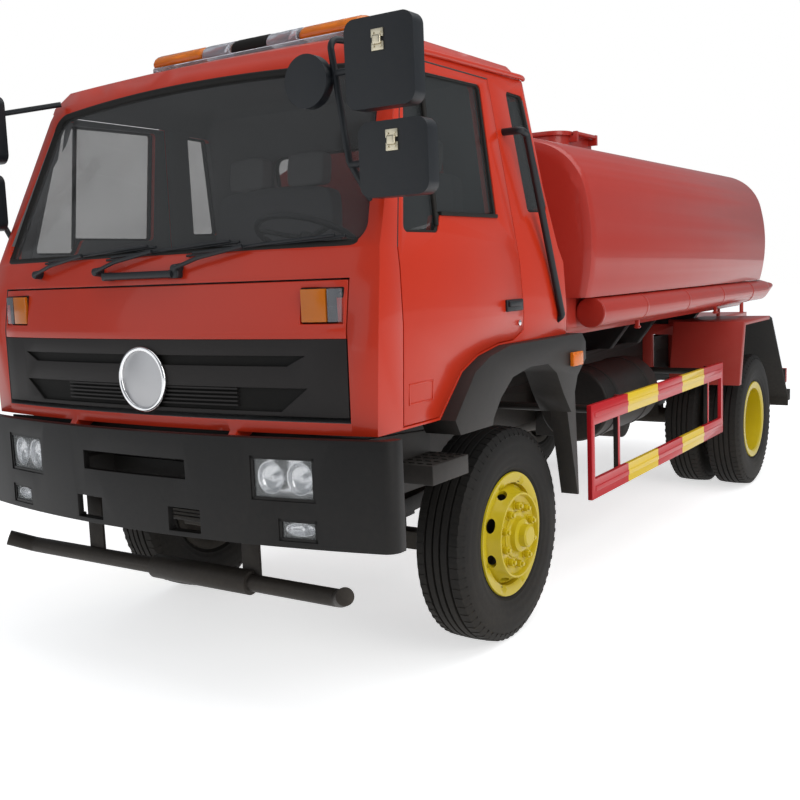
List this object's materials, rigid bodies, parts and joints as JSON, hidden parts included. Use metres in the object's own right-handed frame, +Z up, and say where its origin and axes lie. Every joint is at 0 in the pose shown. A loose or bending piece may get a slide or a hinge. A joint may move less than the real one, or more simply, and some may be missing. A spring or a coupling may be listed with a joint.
{
  "type": "water tanker truck",
  "caption": "Two-axle cab-over water-sprinkler tanker truck, red with yellow wheels, opening doors, front lid and manhole, tilting cab, steered and rolling wheels.",
  "frame": {"origin": "centre of the bounding box at ground level, under the wheels", "axes": "+Z up, -Y the way the truck drives, +X the truck's left side"},
  "size_m": [2.75, 6.8, 2.91],
  "materials": {
    "red_paint": "gloss red cab and guard paint",
    "tank_paint": "gloss red tank paint",
    "yellow_paint": "yellow wheel paint",
    "frame_paint": "black chassis paint",
    "bumper_paint": "satin black bumper paint",
    "pipe_paint": "worn black pipe paint",
    "black_plastic": "grained black plastic",
    "grey_plastic": "grained grey cab trim",
    "rubber": "black rubber",
    "tyre": "tyre rubber",
    "cast_iron": "cast and forged running gear",
    "glass": "clear cab glass, faintly green",
    "lamp_clear": "clear lamp lens",
    "lamp_amber": "amber lamp lens",
    "lamp_red": "red lamp lens",
    "fabric": "dark grey seat cloth"
  },
  "bodies": {
    "chassis": {"chassis_frame": "frame_paint", "tank_cradle": "frame_paint", "front_bumper": "bumper_paint", "headlamps": "lamp_clear", "spray_bar": "pipe_paint", "driveline": "cast_iron", "front_axle": "cast_iron", "rear_axle": "cast_iron", "leaf_springs": "frame_paint", "fuel_tank": "frame_paint", "air_reservoirs": "frame_paint", "side_guards": "red_paint", "cab_steps": "black_plastic", "rear_fenders": "red_paint", "rear_flaps": "rubber", "tank": "tank_paint", "hose_tubes": "tank_paint", "rear_platform": "red_paint", "water_pump": "cast_iron", "rear_bar": "frame_paint", "tail_lamps": "lamp_red"},
    "cab": {"cab_shell": "red_paint", "windscreen": "glass", "cab_glass": "glass", "arch_flares": "black_plastic", "side_markers": "lamp_amber", "wipers": "black_plastic", "light_bar": "lamp_amber", "mirrors": "black_plastic", "grab_rails": "black_plastic", "dashboard": "grey_plastic", "steering_wheel": "black_plastic", "seats": "fabric"},
    "front_lid": {"front_panel": "red_paint", "grille": "grey_plastic", "turn_signals": "lamp_amber"},
    "door_left": {"door_left": "red_paint", "door_glass_left": "glass"},
    "door_right": {"door_right": "red_paint", "door_glass_right": "glass"},
    "manhole_lid": {"manhole_lid": "tank_paint"},
    "knuckle_left": {"knuckle_left": "cast_iron"},
    "knuckle_right": {"knuckle_right": "cast_iron"},
    "track_rod": {"track_rod": "cast_iron"},
    "wheel_front_left": {"tyre_front_left": "tyre", "rim_front_left": "yellow_paint"},
    "wheel_front_right": {"tyre_front_right": "tyre", "rim_front_right": "yellow_paint"},
    "wheels_rear_left": {"tyres_rear_left": "tyre", "rims_rear_left": "yellow_paint"},
    "wheels_rear_right": {"tyres_rear_right": "tyre", "rims_rear_right": "yellow_paint"}
  },
  "joints": [
    {"name": "cab_tilt", "type": "hinge", "parent": "chassis", "child": "cab", "pos_m": [0, -3.295, 1.105], "axis": [1, 0, 0], "range_deg": [0, 45]},
    {"name": "front_lid", "type": "hinge", "parent": "cab", "child": "front_lid", "pos_m": [0, -3.267, 1.76], "axis": [-1, 0, 0], "range_deg": [0, 60]},
    {"name": "door_left", "type": "hinge", "parent": "cab", "child": "door_left", "pos_m": [1.15, -3.026, 1.7], "axis": [0, 0, -1], "range_deg": [0, 70]},
    {"name": "door_right", "type": "hinge", "parent": "cab", "child": "door_right", "pos_m": [-1.15, -3.026, 1.7], "axis": [0, 0, 1], "range_deg": [0, 70]},
    {"name": "manhole_lid", "type": "hinge", "parent": "chassis", "child": "manhole_lid", "pos_m": [0.346, 0.655, 2.6833], "axis": [0, 1, 0], "range_deg": [0, 110]},
    {"name": "steer_left", "type": "hinge", "parent": "chassis", "child": "knuckle_left", "pos_m": [0.85, -2.045, 0.514], "axis": [0, 0, 1], "range_deg": [-33, 33]},
    {"name": "steer_right", "type": "hinge", "parent": "chassis", "child": "knuckle_right", "pos_m": [-0.85, -2.045, 0.514], "axis": [0, 0, 1], "range_deg": [-33, 33]},
    {"name": "track_rod", "type": "hinge", "parent": "knuckle_left", "child": "track_rod", "pos_m": [0.85, -1.9, 0.366], "axis": [0, 0, 1], "range_deg": [-33, 33]},
    {"name": "spin_front_left", "type": "hinge", "parent": "knuckle_left", "child": "wheel_front_left", "pos_m": [0.967, -2.045, 0.514], "axis": [1, 0, 0], "continuous": true},
    {"name": "spin_front_right", "type": "hinge", "parent": "knuckle_right", "child": "wheel_front_right", "pos_m": [-0.967, -2.045, 0.514], "axis": [1, 0, 0], "continuous": true},
    {"name": "spin_rear_left", "type": "hinge", "parent": "chassis", "child": "wheels_rear_left", "pos_m": [0.929, 1.905, 0.514], "axis": [1, 0, 0], "continuous": true},
    {"name": "spin_rear_right", "type": "hinge", "parent": "chassis", "child": "wheels_rear_right", "pos_m": [-0.929, 1.905, 0.514], "axis": [1, 0, 0], "continuous": true}
  ],
  "couplings": [
    {"joint": "steer_right", "follows": "steer_left", "ratio": 1},
    {"joint": "track_rod", "follows": "steer_left", "ratio": -1}
  ]
}
